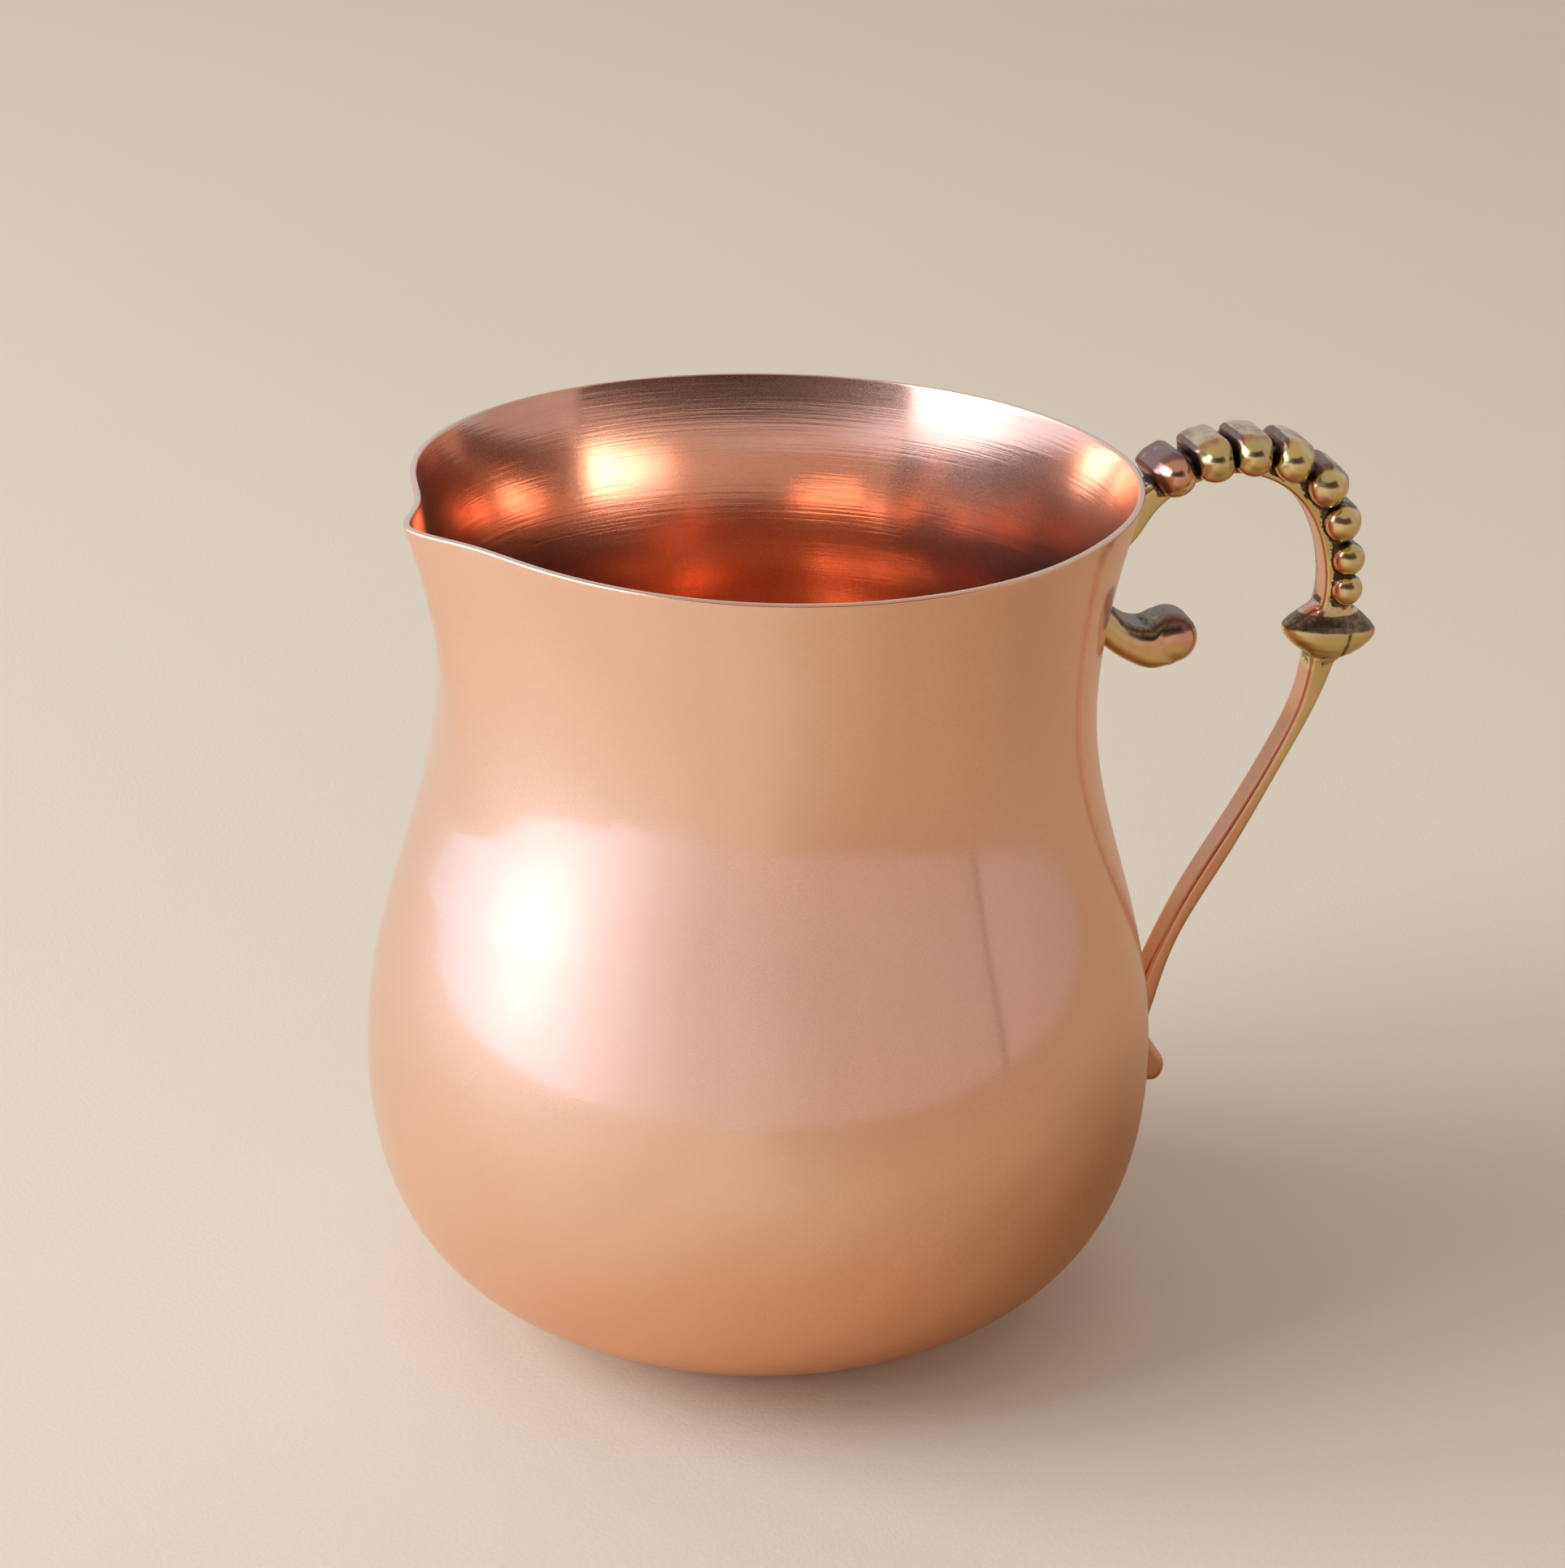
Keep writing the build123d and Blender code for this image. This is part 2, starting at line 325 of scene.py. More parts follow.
# The collar's own height, with half its length along the handle's plane and half its width at each.
COLLAR_X = 72.85
COLLAR_Z = 85.35
COLLAR_LEAN = 5.0
COLLAR_HEIGHTS = (-3.1, -2.6, -1.8, -0.9, -0.1, 0.5, 1.3, 2.4, 3.6)
COLLAR_LONG = (2.4, 3.6, 4.8, 5.7, 6.2, 6.15, 5.5, 4.2, 2.5)
COLLAR_WIDE = (2.3, 2.9, 3.3, 3.5, 3.5, 3.45, 3.2, 2.7, 2.2)

# Casting pits: middle x, y and z, and radius.
PITS = [
    (57.0, -5.25, 109.4, 0.30), (51.6, -5.15, 107.0, 0.30), (51.1, -5.1, 106.1, 0.34),
    (66.9, -5.3, 109.6, 0.16), (71.9, -5.1, 106.3, 0.14), (74.2, -4.9, 100.3, 0.15),
    (48.0, -4.35, 86.0, 0.13), (48.7, -4.35, 85.6, 0.10), (47.6, -4.3, 86.5, 0.10),
]

# How many places the wall's outline is worked out at.
WALL_PLACES = 400

# The grid the fields are worked out on, and how far from a surface they are kept.
VOXEL = 0.2
BAND = 3 * VOXEL
GRID_LOW = np.array([39.6, -6.4, 21.8])
GRID_HIGH = np.array([81.0, 6.4, 114.6])
GRID_SHAPE = np.ceil((GRID_HIGH - GRID_LOW) / VOXEL).astype(int) + 1
GX = (GRID_LOW[0] + VOXEL * np.arange(GRID_SHAPE[0]))[:, None, None].astype(np.float32)
GY = (GRID_LOW[1] + VOXEL * np.arange(GRID_SHAPE[1]))[None, :, None].astype(np.float32)
GZ = (GRID_LOW[2] + VOXEL * np.arange(GRID_SHAPE[2]))[None, None, :].astype(np.float32)


def union(a, b, k):
    """Two fields joined, with a fillet of about k."""
    mix = np.clip(0.5 + 0.5 * (b - a) / k, 0, 1)
    return b + (a - b) * mix - k * mix * (1 - mix)


def common(a, b, k):
    """What two fields share, with the edge between them rounded by about k."""
    return -union(-a, -b, k)


def flat_outline(sides):
    """Distance to a closed outline in the handle's plane, below zero inside.

    Each side is smoothed on its own, so the corners between sides stay sharp."""
    outline = np.concatenate([spline_through(s, 10 * len(s)) for s in sides])
    x, z = GX[:, 0, :], GZ[:, 0, :]
    nearest = np.full((GRID_SHAPE[0], GRID_SHAPE[2]), 1e9, np.float32)
    inside = np.zeros(nearest.shape, bool)
    for (ax, az), (bx, bz) in zip(outline, np.roll(outline, -1, axis=0), strict=True):
        ex, ez = bx - ax, bz - az
        length = ex * ex + ez * ez
        if length < 1e-9:
            continue
        share = np.clip(((x - ax) * ex + (z - az) * ez) / length, 0, 1)
        nearest = np.minimum(nearest, (x - ax - ex * share) ** 2 + (z - az - ez * share) ** 2)
        if ez:
            crosses = (az > z) != (bz > z)
            inside ^= crosses & (x < ax + (z - az) * ex / ez)
    return np.where(inside, -1, 1) * np.sqrt(nearest)


def slab(flat, half, edge):
    """A flat outline given a width across, with its edges rounded."""
    inward = flat[:, None, :] + edge
    across = np.abs(GY) - half + edge
    corner = np.hypot(np.maximum(inward, 0), np.maximum(across, 0))
    return np.minimum(np.maximum(inward, across), 0) + corner - edge


def away_from_arch(x, z):
    """The direction straight out of the arch at a place in the handle's plane."""
    outward = np.array([x - ARCH_CENTRE[0], z - ARCH_CENTRE[1]])
    return outward / np.linalg.norm(outward)


def bead_field(x, z, radius, reach, ball, sink, flatness):
    """One bead: a filed rod lying across the arch, with a ball on each end."""
    outward = away_from_arch(x, z)
    dx, dz = GX - x, GZ - z
    out = dx * outward[0] + dz * outward[1]
    side = dx * outward[1] - dz * outward[0] + BEAD_LEAN * GY * flatness
    rod = np.hypot(out, side) - radius * (1.0 + BEAD_SPARE * flatness)
    for angle, depth in FACETS:
        turn = np.radians(angle)
        facet = out * np.cos(turn) + side * np.sin(turn)
        rod = np.maximum(rod, facet - radius * (depth + (1 - flatness) * FACET_RELIEF))
    ends = np.abs(GY) - (reach + ROD_PAST) + ROD_TAPER * (out + radius)
    rod = common(rod, ends * 0.95, 1.35)
    balls = np.sqrt((out + sink) ** 2 + side**2 + (np.abs(GY) - reach) ** 2) - ball
    return union(rod, balls, 0.7)


def collar_field():
    """The flattened, pointed collar where the arch meets the tail bar."""
    lean = np.radians(COLLAR_LEAN)
    dx, dz = GX - COLLAR_X, GZ - COLLAR_Z
    along = dx * np.cos(lean) - dz * np.sin(lean)
    height = dx * np.sin(lean) + dz * np.cos(lean)
    shape = height.shape
    long = np.interp(height.ravel(), COLLAR_HEIGHTS, COLLAR_LONG).reshape(shape)
    wide = np.interp(height.ravel(), COLLAR_HEIGHTS, COLLAR_WIDE).reshape(shape)
    ratio = np.sqrt((along / long) ** 2 + (GY / wide) ** 2)
    ring = (ratio - 1) * np.minimum(long, wide) * 0.75
    ends = np.maximum(height - COLLAR_HEIGHTS[-1], COLLAR_HEIGHTS[0] - height)
    return np.maximum(ring, ends).astype(np.float32)


def wall_field():
    """Distance outside the body's wall on the handle's side."""
    profile = spline_through(OUTLINE, WALL_PLACES)
    radius = np.interp(GZ[0, 0, :], profile[:, 1], profile[:, 0])
    turn = np.degrees(np.arctan2(GY[:, :, 0], GX[:, :, 0]))
    rim = hand_waver(turn[:, :, None], GZ)
    return (np.hypot(GX, GY) - radius - rim).astype(np.float32)


def strap_field(wall):
    """The strap that follows the wall, from the arch's root down to the scroll's."""
    thickness = np.interp(GZ, STRAP_THICK_Z, STRAP_THICKNESS).astype(np.float32)
    behind = np.interp(GZ, STRAP_BEHIND_Z, STRAP_BEHIND).astype(np.float32)
    strap = common(wall - thickness, np.abs(GY - behind) - (STRAP_HALF - 0.6 * behind), 0.5)
    return common(strap, np.abs(GZ - np.mean(STRAP_Z)) - np.ptp(STRAP_Z) / 2, 1.2)


def scroll_field():
    """The thumb scroll: a curved band that ends in a bulb."""
    band = slab(flat_outline([SCROLL_TOP, SCROLL_UNDER]), SCROLL_HALF, SCROLL_EDGE)
    bulb = np.hypot(GX[:, 0, :] - BULB_X, GZ[:, 0, :] - BULB_Z) - BULB_R
    return union(band, slab(bulb, SCROLL_HALF, BULB_EDGE), 0.9)


def handle_fields():
    """The brass handle, and the body's wall, as fields on the grid."""
    wall = wall_field()
    web = slab(flat_outline([ARCH_INNER, ARCH_OUTER]), WEB_HALF, WEB_EDGE)
    body = union(web, strap_field(wall), 1.2)
    for bead in BEADS:
        body = union(body, bead_field(*bead), 0.35)
    body = union(body, collar_field(), 0.7)
    tail = flat_outline([BAR_INNER, FOOT_INNER[::-1], FOOT_OUTER[::-1], BAR_OUTER[::-1]])
    body = union(body, slab(tail, BAR_HALF, BAR_EDGE), 1.0)
    body = union(body, scroll_field(), 0.5)
    for x, y, z, radius in PITS:
        pit = np.sqrt((GX - x) ** 2 + (GY - y) ** 2 + (GZ - z) ** 2) - radius
        body = np.maximum(body, -pit)
    return body, wall


def field_mesh(name, field):
    """The surface where a field on the grid is zero."""
    grid = openvdb.FloatGrid(float(BAND))
    grid.copyFromArray(np.clip(field, -BAND, BAND).astype(np.float32))
    points, quads = grid.convertToQuads(isovalue=0.0)
    points = np.array(points, float) * VOXEL + GRID_LOW
    return make_mesh(name, points, quads.tolist())


def blurred(field, reach):
    """The field averaged over a box of `reach` cells each way."""
    side = 2 * reach + 1
    for axis in range(3):
        margins = [(reach + 1, reach) if a == axis else (0, 0) for a in range(3)]
        total = np.cumsum(np.pad(field, margins, mode="edge"), axis=axis, dtype=np.float64)
        count = field.shape[axis]
        high = np.take(total, np.arange(side, side + count), axis=axis)
        low = np.take(total, np.arange(count), axis=axis)
        field = ((high - low) / side).astype(np.float32)
    return field


def read_field(field, points):
    """The field's value at each point, from the nearest cell."""
    cells = np.rint((points - GRID_LOW) / VOXEL).astype(int)
    cells = np.clip(cells, 0, np.array(field.shape) - 1)
    return field[cells[:, 0], cells[:, 1], cells[:, 2]]


def mesh_points(piece):
    """The piece's points in mm."""
    flat = np.zeros(len(piece.data.vertices) * 3)
    piece.data.vertices.foreach_get("co", flat)
    return flat.reshape(-1, 3) / MM


def relax(piece, rounds):
    """Evens out the mesh's small steps."""
    smoother = piece.modifiers.new("even", "SMOOTH")
    smoother.factor = 0.5
    smoother.iterations = rounds
    graph = bpy.context.evaluated_depsgraph_get()
    evened = bpy.data.meshes.new_from_object(piece.evaluated_get(graph))
    piece.modifiers.clear()
    piece.data = evened


# How far round a point its hollow is judged, and the difference that makes the darkest groove, in mm.
HOLLOW_REACH = 0.8
HOLLOW_DEEP = 0.22


def add_hollows(piece, field):
    """How deep in a hollow each point lies, from -1 on a sharp edge to 1 in a deep groove."""
    reach = max(2, round(HOLLOW_REACH / VOXEL))
    difference = blurred(field, reach) - field
    depth = -read_field(difference, mesh_points(piece))
    add_attribute(piece, "hollow", np.clip(depth / HOLLOW_DEEP, -1, 1))


# The parts of the handle that age differently: the scroll, the collar, the arch above it, and the tail
# bar below. Beads filed more than FILED are stained and coppery over their tops too.
SCROLL_TO_X = 57
SCROLL_ZONE_Z = (81.5, 97)
COLLAR_FROM_X = 62
COLLAR_ZONE_Z = (80.5, 90.0)
ARCH_FROM_Z = 88
FILED = 0.6


def bead_stains(bead, points, normals):
    """How dark and how pink a bead's points are, and which points are the bead's."""
    bx, bz, _radius, reach, _ball, _sink, flatness = bead
    x, y, z = points
    nx, _ny, nz = normals
    outward = away_from_arch(bx, bz)
    out = (x - bx) * outward[0] + (z - bz) * outward[1]
    side = (x - bx) * outward[1] - (z - bz) * outward[0]
    near = (np.abs(side) < 2.7) & (out > -1.4)
    across = nx * outward[1] - nz * outward[0]
    rod = step(-np.abs(y), -reach - 0.9, -reach + 0.3)
    back = step(-across, 0.35, 0.6)
    if flatness > FILED:
        stain = np.maximum(0.95 * back, 0.34) * rod
        flush = 0.55 * rod
    else:
        stain = 0.9 * np.maximum(back, 0.8 * step(nz, 0.45, 0.8)) * np.maximum(rod, 0.25)
        flush = 0.2 * rod
    if bead is BEADS[0]:
        # It is stained nearly all over, most next to the wall, and is the most coppery.
        stain = np.maximum(stain, 0.72 * step(-y, -4.2, -2.4) * rod)
        stain = np.maximum(stain, 0.8 * step(-side, 0.6, 1.6))
        flush = np.maximum(flush, 0.75)
    return stain, flush, near


def add_stains(piece):
    """Where the casting is dark with patina and where it is coppery, as age and handling leave it."""
    points = mesh_points(piece)
    normals = np.zeros(len(points) * 3)
    piece.data.vertices.foreach_get("normal", normals)
    normals = normals.reshape(-1, 3).T
    nx, _ny, nz = normals
    x, y, z = points.T
    dark = np.zeros(len(points))
    pink = np.zeros(len(points))
    # The scroll is dark on top and in its tail.
    scroll = (x < SCROLL_TO_X) & (z > SCROLL_ZONE_Z[0]) & (z < SCROLL_ZONE_Z[1])
    dark = np.where(scroll, step(nz, 0.30, 0.62), dark)
    dark = np.where(scroll & (x < 46.5), np.maximum(dark, step(z + 0.9 * x, 128.6, 130.0)), dark)
    pink = np.where(scroll, 0.35 + 0.3 * step(x, 48, 53) * step(z, 84, 86.5), pink)
    # The collar is dark on top and coppery at its outer tip, with a crack down its front.
    collar = (x > COLLAR_FROM_X) & (z > COLLAR_ZONE_Z[0]) & (z < COLLAR_ZONE_Z[1])
    dark = np.where(collar, 0.85 * step(nz, 0.05, 0.35) * step(z, 84.8, 86.2), dark)
    pink = np.where(collar, 0.6 * step(x, 75.5, 78.5), pink)
    crack = np.abs(x - 74.3 - 0.25 * (z - 84.0))
    crack = crack + 1.3 * step(z, 85.6, 86.4) + 1.3 * step(-z, -82.6, -82.0)
    dark = np.where(collar & (y < 0), np.maximum(dark, 1.1 * step(-crack, -0.32, -0.10)), dark)
    # The tail bar is more coppery further down and on its inner side.
    low = z < COLLAR_ZONE_Z[0]
    pink = np.where(low, 0.15 + 0.6 * step(-z, -76, -52), pink)
    pink = np.where(low, np.maximum(pink, 1.1 * step(-nx, 0.2, 0.5)), pink)
    # The arch is coppery underneath, and stained there at the back.
    arch = (z >= ARCH_FROM_Z) & ~scroll
    towards = np.stack([ARCH_CENTRE[0] - x, ARCH_CENTRE[1] - z])
    towards /= np.linalg.norm(towards, axis=0)
    inward = nx * towards[0] + nz * towards[1]
    pink = np.where(arch, 0.95 * step(inward, 0.35, 0.7), pink)
    dark = np.where(arch, 0.35 * step(inward, 0.35, 0.7) * step(y, -1.0, 1.0), dark)
    for bead in BEADS:
        stain, flush, near = bead_stains(bead, points.T, normals)
        dark = np.where(near & arch, np.maximum(dark, stain), dark)
        pink = np.where(near & arch, np.maximum(pink, flush), pink)
    add_attribute(piece, "dark", dark)
    add_attribute(piece, "pink", pink)


# ---------------------------------------------------------------- materials


class Graph:
    """A short way to write a material's or the world's nodes."""

    def __init__(self, tree):
        self.tree = tree
        tree.nodes.clear()

    def node(self, kind, settings=None, **values):
        """A node with its settings made, and its inputs given numbers or joined to other sockets."""
        made = self.tree.nodes.new(kind)
        for key, value in (settings or {}).items():
            setattr(made, key, value)
        for key, value in values.items():
            self.give(made, key.replace("_", " "), value)
        return made

    def give(self, made, key, value):
        """One input, named or numbered, set or joined."""
        socket = made.inputs[int(key)] if key.isdigit() else made.inputs[key]
        if isinstance(value, bpy.types.NodeSocket):
            self.tree.links.new(value, socket)
        else:
            socket.default_value = value

    def attribute(self, name):
        """A number that the mesh carries at each point."""
        return self.node("ShaderNodeAttribute", {"attribute_name": name}).outputs["Fac"]

    def show(self, shader):
        """Makes the shader the material's surface."""
        output = self.node("ShaderNodeOutputMaterial")
        self.tree.links.new(shader.outputs[0], output.inputs["Surface"])

    def math(self, operation, a, b):
        """Two numbers put together."""
        made = self.node("ShaderNodeMath", {"operation": operation})
        self.give(made, "0", a)
        self.give(made, "1", b)
        return made.outputs[0]

    def ramp(self, value, low, high):
        """0 below low, 1 above high, smooth between."""
        made = self.node("ShaderNodeMapRange", {"interpolation_type": "SMOOTHSTEP"})
        self.give(made, "Value", value)
        self.give(made, "From Min", low)
        self.give(made, "From Max", high)
        return made.outputs[0]

    def between(self, share, low, high):
        """low at share 0, high at share 1."""
        made = self.node("ShaderNodeMapRange")
        self.give(made, "Value", share)
        self.give(made, "To Min", low)
        self.give(made, "To Max", high)
        return made.outputs[0]

    def blend(self, share, a, b):
        """One colour to another."""
        made = self.node("ShaderNodeMix", {"data_type": "RGBA"})
        self.give(made, "0", share)
        self.give(made, "6", a)
        self.give(made, "7", b)
        return made.outputs[2]

    def noise(self, vector, scale, detail, rough=0.5):
        """Soft noise with about `scale` cells to each unit of the vector."""
        values = {"Vector": vector, "Scale": scale, "Detail": detail, "Roughness": rough}
        return self.node("ShaderNodeTexNoise", None, **values).outputs[0]

    def stretched(self, vector, scale):
        """A place with each axis scaled, so that noise on it is drawn out."""
        made = self.node("ShaderNodeVectorMath", {"operation": "MULTIPLY"})
        self.give(made, "0", vector)
        self.give(made, "1", scale)
        return made.outputs[0]

    def bump(self, height, strength, distance, normal=None):
        """A normal tilted by a height, on top of another bump if one is given."""
        made = self.node("ShaderNodeBump", None, Height=height, Strength=strength, Distance=distance)
        if normal is not None:
            self.give(made, "Normal", normal)
        return made.outputs[0]


def rgb(red, green, blue):
    """A colour without transparency."""
    return (red, green, blue, 1.0)


def blank_material(name):
    """A material and its empty graph."""
    made = bpy.data.materials.new(name)
    made.use_nodes = True
    return made, Graph(made.node_tree)


def new_material(name):
    """A material's graph, its object coordinates and a function that finishes it as a plain surface."""
    made, graph = blank_material(name)
    place = graph.node("ShaderNodeTexCoord").outputs["Object"]

    def close(**values):
        graph.show(graph.node("ShaderNodeBsdfPrincipled", None, **values))
        return made

    return graph, place, close


def copper_material():
    """Spun and polished copper: faint lathe lines outside, stronger ones inside, and a fine haze."""
    g, place, close = new_material("polished_copper")
    inside = g.attribute("inside")
    lathe = g.noise(g.stretched(place, (60, 60, 3600)), 1.0, 3.0)
    broad = g.noise(g.stretched(place, (30, 30, 700)), 1.0, 2.0)
    grain = g.noise(place, 5200, 2.0)
    cloud = g.noise(place, 55, 3.0)
    colour = g.blend(g.ramp(cloud, 0.35, 0.7), rgb(0.955, 0.622, 0.462), rgb(0.945, 0.600, 0.440))
    tint = g.math("MULTIPLY", inside, g.ramp(broad, 0.35, 0.75))
    # The inside gets a darker, redder copper than the outside: painted shade that deepens the dim red
    # inside the jug.
    colour = g.blend(inside, colour, rgb(0.94, 0.56, 0.40))
    colour = g.blend(g.math("MULTIPLY", tint, 0.3), colour, rgb(0.85, 0.44, 0.33))
    speck = g.math("SUBTRACT", g.noise(place, 26000, 1.0), g.math("MULTIPLY", inside, 0.055))
    haze = g.ramp(speck, 0.48, 0.54)
    rough = g.between(haze, g.between(inside, 0.10, 0.12), g.between(inside, 0.43, 0.33))
    lines = g.bump(lathe, g.between(inside, 0.05, 0.30), 0.00004)
    lines = g.bump(broad, g.between(inside, 0.02, 0.10), 0.0001, lines)
    normal = g.bump(grain, 0.10, 0.00003, lines)
    return close(Base_Color=colour, Metallic=1.0, Roughness=rough, Normal=normal)


def brass_material():
    """Cast brass, rubbed bright where hands reach, with dark patina in its hollows and coppery flushes."""
    g, place, close = new_material("aged_brass")
    hollow = g.attribute("hollow")
    dark = g.attribute("dark")
    pink = g.attribute("pink")
    patch = g.noise(place, 420, 4.0, 0.6)
    fine = g.noise(place, 1700, 4.0, 0.65)
    wide = g.noise(place, 150, 2.0)
    gold = g.blend(g.ramp(wide, 0.35, 0.65), rgb(0.83, 0.63, 0.29), rgb(0.72, 0.58, 0.27))
    flush = g.math("ADD", pink, g.math("MULTIPLY", g.math("SUBTRACT", patch, 0.5), 1.2))
    gold = g.blend(g.ramp(flush, 0.15, 0.8), gold, rgb(0.78, 0.42, 0.27))
    stain = g.math("ADD", dark, g.math("MULTIPLY", g.math("SUBTRACT", patch, 0.5), 1.1))
    stain = g.ramp(stain, 0.22, 0.68)
    olive = g.blend(g.ramp(fine, 0.40, 0.62), rgb(0.085, 0.055, 0.045), rgb(0.26, 0.19, 0.12))
    olive = g.blend(g.ramp(pink, 0.3, 0.8), olive, rgb(0.24, 0.12, 0.115))
    colour = g.blend(g.math("MULTIPLY", stain, 0.88), gold, olive)
    groove = g.math("ADD", hollow, g.math("MULTIPLY", g.math("SUBTRACT", fine, 0.5), 0.9))
    groove = g.ramp(groove, 0.10, 0.42)
    black = g.blend(g.ramp(patch, 0.45, 0.6), rgb(0.020, 0.013, 0.012), rgb(0.13, 0.075, 0.055))
    colour = g.blend(g.math("MULTIPLY", groove, 0.92), colour, black)
    worn = g.math("MAXIMUM", groove, g.math("MULTIPLY", stain, 0.45))
    rough = g.between(worn, 0.22, 0.46)
    soft = g.bump(patch, 0.16, 0.00018)
    normal = g.bump(fine, g.between(worn, 0.06, 0.6), 0.00010, soft)
    return close(Base_Color=colour, Metallic=1.0, Roughness=rough, Normal=normal)


def braze_material():
    """Brazing filler: a paler brass with a slightly pitted, heat-tinted skin."""
    g, place, close = new_material("brazing_filler")
    patch = g.noise(place, 700, 4.0, 0.6)
    colour = g.blend(g.ramp(patch, 0.42, 0.62), rgb(0.62, 0.47, 0.25), rgb(0.24, 0.14, 0.09))
    rough = g.between(patch, 0.2, 0.5)
    normal = g.bump(patch, 0.5, 0.0002)
    return close(Base_Color=colour, Metallic=1.0, Roughness=rough, Normal=normal)


def floor_material():
    """A pale matt board with a fine paper grain."""
    g, place, close = new_material("pale_board")
    fleck = g.noise(place, 1500, 3.0, 0.6)
    cloud = g.noise(place, 6, 2.0)
    colour = g.blend(cloud, rgb(0.775, 0.73, 0.645), rgb(0.795, 0.75, 0.665))
    normal = g.bump(fleck, 0.14, 0.0004)
    return close(Base_Color=colour, Roughness=0.75, Specular_IOR_Level=0.2, Normal=normal)


# ---------------------------------------------------------------- the object

body = build_body()
body.data.materials.append(copper_material())
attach(body, "root")
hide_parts("body_shell")

# The brass stops just clear of the copper.
GAP = 0.03
solid, wall = handle_fields()
brass_field = np.maximum(solid, GAP - wall)
handle = field_mesh("brass_handle", brass_field)
relax(handle, 2)
add_hollows(handle, brass_field)
add_stains(handle)
handle.data.materials.append(brass_material())
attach(handle, "root")
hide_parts("cast_handle")

# The filler's fillet between brass and copper: its size at each height, how thin an edge of it is left
# off, and how far it runs under both surfaces. Each joint has its node, and its lowest and highest place.
FILLET_Z = (60.0, 83.0, 86.0, 97.0, 101.0)
FILLET_REACH = (1.5, 1.2, 0.35, 0.35, 1.5)
FILLET_TRIM = 0.06
SINK = 0.12
JOINTS = {
    "upper_braze": ("upper_braze_joint", 82.0, 107.5),
    "lower_braze": ("lower_braze_joint", 28.0, 44.0),
}
reach = np.interp(GZ, FILLET_Z, FILLET_REACH).astype(np.float32)
joined = union(solid, wall, reach)
filler = braze_material()
for name, (node, low, high) in JOINTS.items():
    near = np.maximum(low - GZ, GZ - high)
    under = np.maximum(joined + FILLET_TRIM, -(solid + SINK))
    fillet = np.maximum(under, np.maximum(-(wall + SINK), near))
    braze = field_mesh(name, fillet)
    relax(braze, 1)
    braze.data.materials.append(filler)
    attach(braze, "root")
    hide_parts(node)

# ---------------------------------------------------------------- stage, lights and camera

FLOOR_HALF = 6000.0
corners = [(x * FLOOR_HALF, y * FLOOR_HALF, 0) for x, y in ((-1, -1), (1, -1), (1, 1), (-1, 1))]
floor = make_mesh("floor", corners, [(0, 1, 2, 3)])
floor.data.materials.append(floor_material())


def on_circle(azimuth, radius, z):
    """A point round the jug, in mm."""
    turn = np.radians(azimuth)
    return (radius * np.cos(turn), radius * np.sin(turn), z)


def only_in_reflections(card):
    """Puts a piece on the stage where nothing but reflections can show it."""
    card.visible_camera = False
    card.visible_diffuse = False
    card.visible_shadow = False
    card.visible_transmission = False
    card.visible_volume_scatter = False


CARD_STEPS = 48


def glow_card(name, azimuths, radius, heights, colours, strength, fade=0.0, peak=0.5):
    """A glowing curved card that only shows in reflections, its colour running along it.

    With a fade, its light is added to what lies behind it. The light grows from nothing at the top and
    bottom edges over that share of its height, and from nothing at both ends to its most at peak."""
    points, faces, shares = [], [], []
    for i in range(CARD_STEPS + 1):
        share = i / CARD_STEPS
        azimuth = azimuths[0] + (azimuths[1] - azimuths[0]) * share
        points += [on_circle(azimuth, radius, heights[0]), on_circle(azimuth, radius, heights[1])]
        shares += [share, share]
    for i in range(CARD_STEPS):
        faces.append((2 * i, 2 * i + 1, 2 * i + 3, 2 * i + 2))
    card = make_mesh(name, points, faces)
    add_attribute(card, "along", shares)
    add_attribute(card, "rise", [0.0, 1.0] * (CARD_STEPS + 1))
    made, g = blank_material(name)
    along = g.attribute("along")
    ramp = g.node("ShaderNodeValToRGB", None, Fac=along)
    ramp.color_ramp.elements[0].color = colours[0][1]
    ramp.color_ramp.elements[0].position = colours[0][0]
    ramp.color_ramp.elements[1].color = colours[-1][1]
    ramp.color_ramp.elements[1].position = colours[-1][0]
    for position, colour in colours[1:-1]:
        ramp.color_ramp.elements.new(position).color = colour
    if fade:
        rise = g.attribute("rise")
        edge = g.math("MULTIPLY", g.ramp(along, 0.0, peak), g.ramp(along, 1.0, peak))
        edge = g.math("MULTIPLY", edge, g.ramp(rise, 0.0, fade))
        edge = g.math("MULTIPLY", edge, g.ramp(rise, 1.0, 1.0 - fade))
        strength = g.math("MULTIPLY", edge, strength)
    light = g.node("ShaderNodeEmission", None, Color=ramp.outputs[0], Strength=strength)
    if fade:
        clear = g.node("ShaderNodeBsdfTransparent")
        both = g.node("ShaderNodeAddShader")
        g.tree.links.new(light.outputs[0], both.inputs[0])
        g.tree.links.new(clear.outputs[0], both.inputs[1])
        light = both
    g.show(light)
    card.data.materials.append(made)
    only_in_reflections(card)


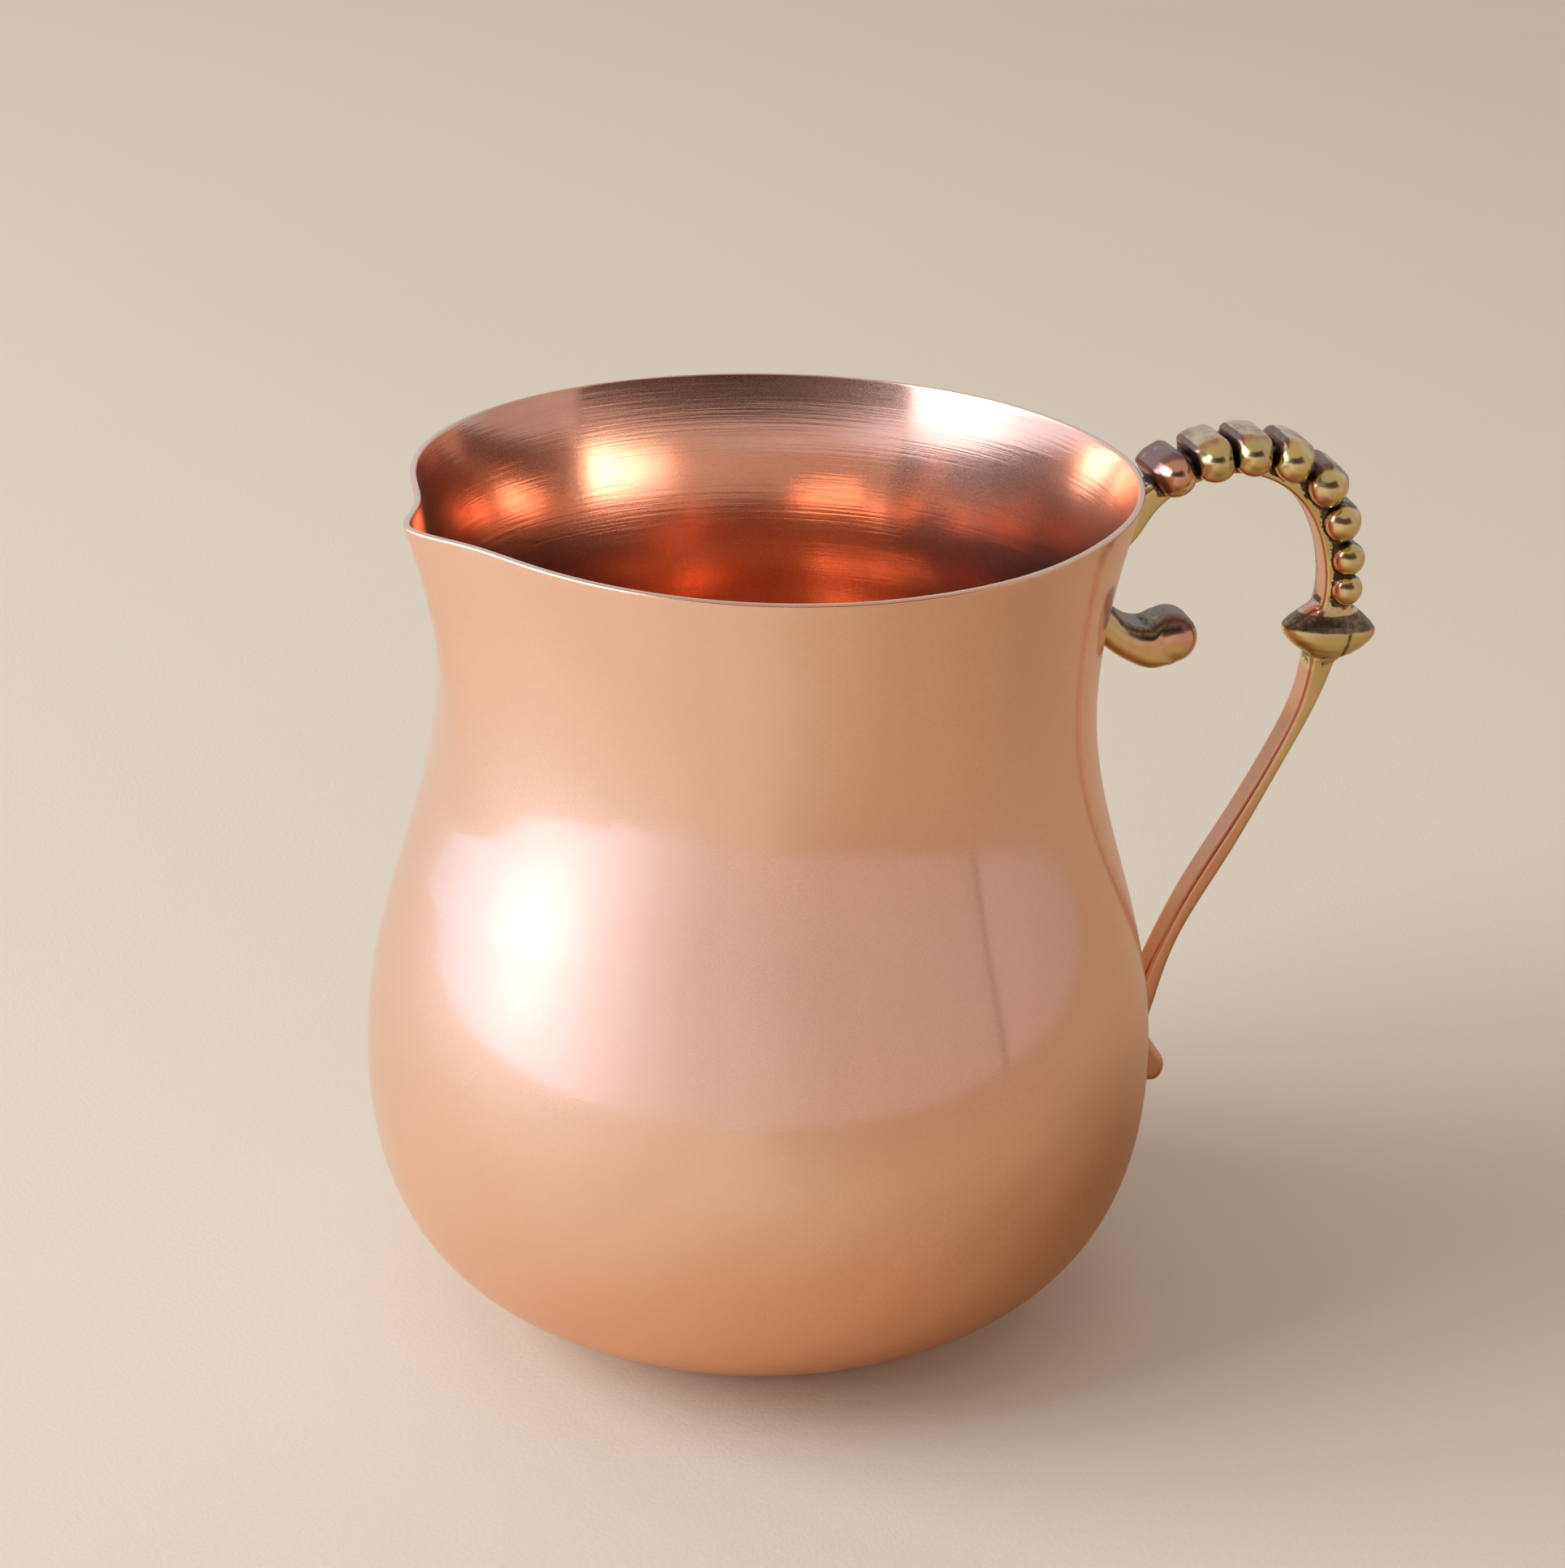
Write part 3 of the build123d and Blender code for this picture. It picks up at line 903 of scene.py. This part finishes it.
glow_card(
    "front_card", (-152.0, -34.0), 300.0, (20.0, 168.0),
    [
        (0.0, rgb(0.80, 0.84, 1.00)), (0.06, rgb(0.72, 0.74, 0.88)), (0.155, rgb(0.60, 0.59, 0.65)),
        (0.245, rgb(0.52, 0.47, 0.49)), (0.37, rgb(0.48, 0.43, 0.43)), (0.5, rgb(0.44, 0.385, 0.375)),
        (0.62, rgb(0.40, 0.34, 0.32)), (1.0, rgb(0.35, 0.29, 0.27)),
    ],
    1.5,
)
glow_card(
    "side_card", (-32.8, 8.0), 300.0, (20.0, 240.0),
    [(0.0, rgb(0.57, 0.47, 0.48)), (1.0, rgb(0.46, 0.38, 0.36))], 1.0,
)
glow_card(
    "card_gap", (-34.0, -32.8), 300.0, (20.0, 168.0),
    [(0.0, rgb(0.16, 0.11, 0.10)), (1.0, rgb(0.16, 0.11, 0.10))], 1.0,
)
glow_card(
    "room_front", (-152.0, -34.0), 300.0, (168.0, 460.0),
    [(0.0, rgb(0.14, 0.11, 0.12)), (0.5, rgb(0.045, 0.03, 0.03)), (1.0, rgb(0.10, 0.07, 0.07))], 1.0,
)
glow_card(
    "left_curtain", (208.0, 128.0), 445.0, (0.0, 420.0),
    [
        (0.0, rgb(0.56, 0.61, 0.78)), (0.4, rgb(0.55, 0.63, 0.84)), (0.6, rgb(0.53, 0.63, 0.86)),
        (0.8, rgb(0.47, 0.52, 0.66)), (1.0, rgb(0.40, 0.40, 0.44)),
    ],
    2.0,
)
glow_card(
    "window_low", (212.0, 160.0), 430.0, (-20.0, 250.0),
    [(0.0, rgb(0.72, 0.86, 1.0)), (1.0, rgb(0.72, 0.86, 1.0))], 1.05, 0.5,
)
glow_card(
    "window_high", (212.0, 136.0), 430.0, (170.0, 620.0),
    [(0.0, rgb(0.76, 0.90, 1.0)), (1.0, rgb(0.76, 0.90, 1.0))], 7.0, 0.15, 0.25,
)
glow_card(
    "room_back", (126.0, 10.0), 480.0, (120.0, 620.0),
    [(0.0, rgb(0.70, 0.84, 0.95)), (1.0, rgb(0.45, 0.50, 0.55))], 1.0,
)


SHADE_RADII = [26.0, 40.0, 55.0, 75.0, 100.0, 140.0, 200.0, 300.0, 500.0, 900.0]
SHADE_SPOKES = 72
SHADE_Z = 0.3


def floor_shade():
    """A clear tinted sheet just over the floor that only shows in reflections.

    It makes the floor that the copper reflects darker close to the jug and to its right."""
    turns = np.arange(SHADE_SPOKES) * (360.0 / SHADE_SPOKES)
    points = [on_circle(turn, radius, SHADE_Z) for radius in SHADE_RADII for turn in turns]
    faces = []
    for ring in range(len(SHADE_RADII) - 1):
        low = ring * SHADE_SPOKES
        high = low + SHADE_SPOKES
        for i in range(SHADE_SPOKES):
            j = (i + 1) % SHADE_SPOKES
            faces.append((low + i, low + j, high + j, high + i))
    sheet = make_mesh("floor_shade", points, faces)
    x, y, _z = np.array(points).T
    across = 0.98 * x - 0.2 * y
    add_attribute(sheet, "near", step(-np.hypot(x, y), -140.0, -55.0) * step(across, -75.0, 5.0))
    add_attribute(sheet, "right", step(across, -30.0, 110.0))
    made, g = blank_material("floor_shade")
    near = g.attribute("near")
    right = g.attribute("right")
    away = g.blend(right, rgb(1.0, 1.0, 1.0), rgb(0.80, 0.68, 0.57))
    close = g.blend(right, rgb(0.86, 0.69, 0.52), rgb(0.52, 0.32, 0.19))
    g.show(g.node("ShaderNodeBsdfTransparent", None, Color=g.blend(near, away, close)))
    sheet.data.materials.append(made)
    only_in_reflections(sheet)


floor_shade()


def softbox(name, place, aim, size, strength, colour):
    """A soft rectangular light. The strength is its brightness, so it doesn't change with its size."""
    data = bpy.data.lights.new(name, "AREA")
    data.shape = "RECTANGLE"
    data.size, data.size_y = size[0] * MM, size[1] * MM
    data.energy = strength * np.pi * data.size * data.size_y
    data.color = colour
    made = bpy.data.objects.new(name, data)
    made.location = Vector(place) * MM
    made.rotation_euler = (Vector(aim) - Vector(place)).to_track_quat("-Z", "Y").to_euler()
    made.visible_camera = False
    bpy.context.scene.collection.objects.link(made)
    return made


key = softbox("key", on_circle(178.0, 1500.0, 800.0), (0, 0, 60), (1500, 1400), 4.5, (0.96, 0.985, 1.0))
key.visible_glossy = False

world = bpy.data.worlds.new("studio")
world.use_nodes = True
bpy.context.scene.world = world
w = Graph(world.node_tree)
sky = w.node("ShaderNodeBackground", None, Color=rgb(0.60, 0.52, 0.43), Strength=0.85)
w.tree.links.new(sky.outputs[0], w.node("ShaderNodeOutputWorld").inputs["Surface"])

CAMERA_PLACE = (-83.76, -406.56, 243.08)
CAMERA_AIM = (2.54, -0.54, 69.29)
CAMERA_ROLL = 0.8716
CAMERA_LENS = 83.09
lens = bpy.data.cameras.new("camera")
lens.lens = CAMERA_LENS
lens.sensor_width = 36.0
lens.clip_start, lens.clip_end = 0.01, 50.0
camera = bpy.data.objects.new("camera", lens)
camera.location = Vector(CAMERA_PLACE) * MM
camera.rotation_mode = "QUATERNION"
looking = (Vector(CAMERA_AIM) - Vector(CAMERA_PLACE)).to_track_quat("-Z", "Y")
camera.rotation_quaternion = looking @ Quaternion((0, 0, 1), np.radians(CAMERA_ROLL))
bpy.context.scene.collection.objects.link(camera)
bpy.context.scene.camera = camera
bpy.context.scene.view_settings.view_transform = "Standard"
